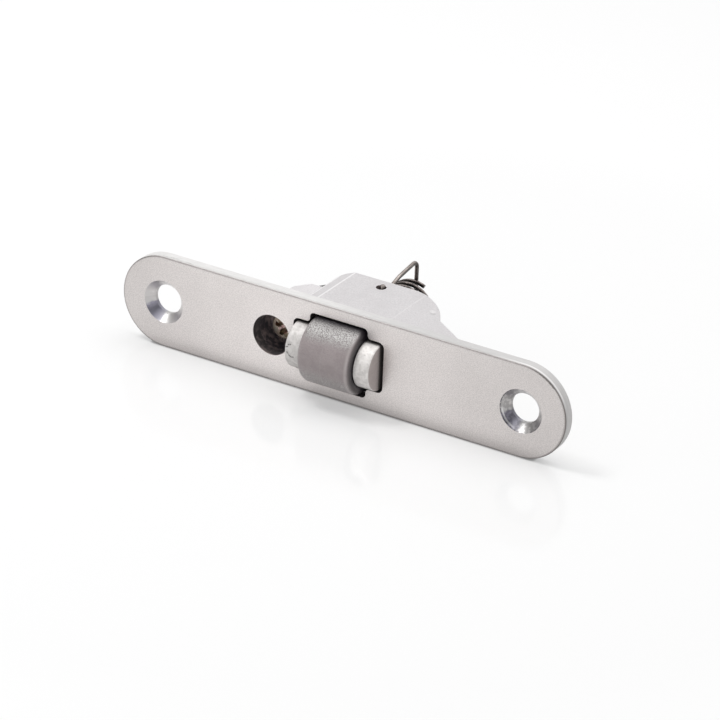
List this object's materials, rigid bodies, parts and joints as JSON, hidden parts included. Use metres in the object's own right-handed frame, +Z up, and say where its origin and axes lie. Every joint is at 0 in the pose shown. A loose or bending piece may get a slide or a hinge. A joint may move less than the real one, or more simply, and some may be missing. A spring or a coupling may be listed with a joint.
{
  "type": "roller catch",
  "caption": "Mortice roller catch: a sprung plastic roller stands out of a round-ended steel faceplate, in front of a cast housing with an adjusting screw.",
  "frame": {"origin": "the middle of the faceplate's back face, midway between the two fixing holes", "axes": "+X along the faceplate away from the adjusting screw, +Y into the door, +Z up across the faceplate"},
  "size_m": [0.124, 0.0437, 0.024],
  "materials": {
    "plate_steel": "satin plated steel",
    "housing_alloy": "light grey casting",
    "roller_plastic": "grey moulded plastic, fine grain",
    "pin_steel": "ground steel",
    "carriage_alloy": "bright casting",
    "spring_wire": "dark drawn spring wire",
    "bail_wire": "brown-grey drawn wire",
    "screw_steel": "yellow passivated steel",
    "washer_steel": "plain steel",
    "clip_steel": "black spring steel",
    "slide_steel": "dark steel"
  },
  "bodies": {
    "case": {"faceplate": "plate_steel", "housing": "housing_alloy", "spring_bail": "bail_wire", "pressure_spring": "spring_wire", "thrust_washer": "washer_steel"},
    "adjuster": {"adjusting_screw": "screw_steel", "screw_clip": "clip_steel"},
    "stop": {"stop_slide": "slide_steel"},
    "fork": {"carriage": "carriage_alloy", "roller_pin": "pin_steel"},
    "wheel": {"roller": "roller_plastic"}
  },
  "joints": [
    {"name": "adjuster_turn", "type": "hinge", "parent": "case", "child": "adjuster", "pos_m": [-0.0188, 0, 0], "axis": [0, 1, 0], "range_deg": [-540, 540]},
    {"name": "stop_travel", "type": "slide", "parent": "case", "child": "stop", "axis": [0, 1, 0], "range_m": [-0.00105, 0.00105]},
    {"name": "roller_press", "type": "slide", "parent": "stop", "child": "fork", "axis": [0, 1, 0], "range_m": [0, 0.007], "stiffness_N_per_m": 490, "springref_m": -0.017, "deforming": ["pressure_spring"]},
    {"name": "roller_turn", "type": "hinge", "parent": "fork", "child": "wheel", "pos_m": [0, -0.0019, 0], "axis": [1, 0, 0], "continuous": true}
  ],
  "couplings": [
    {"joint": "adjuster_turn", "follows": "stop_travel", "rad_per_m": -8975.9}
  ]
}
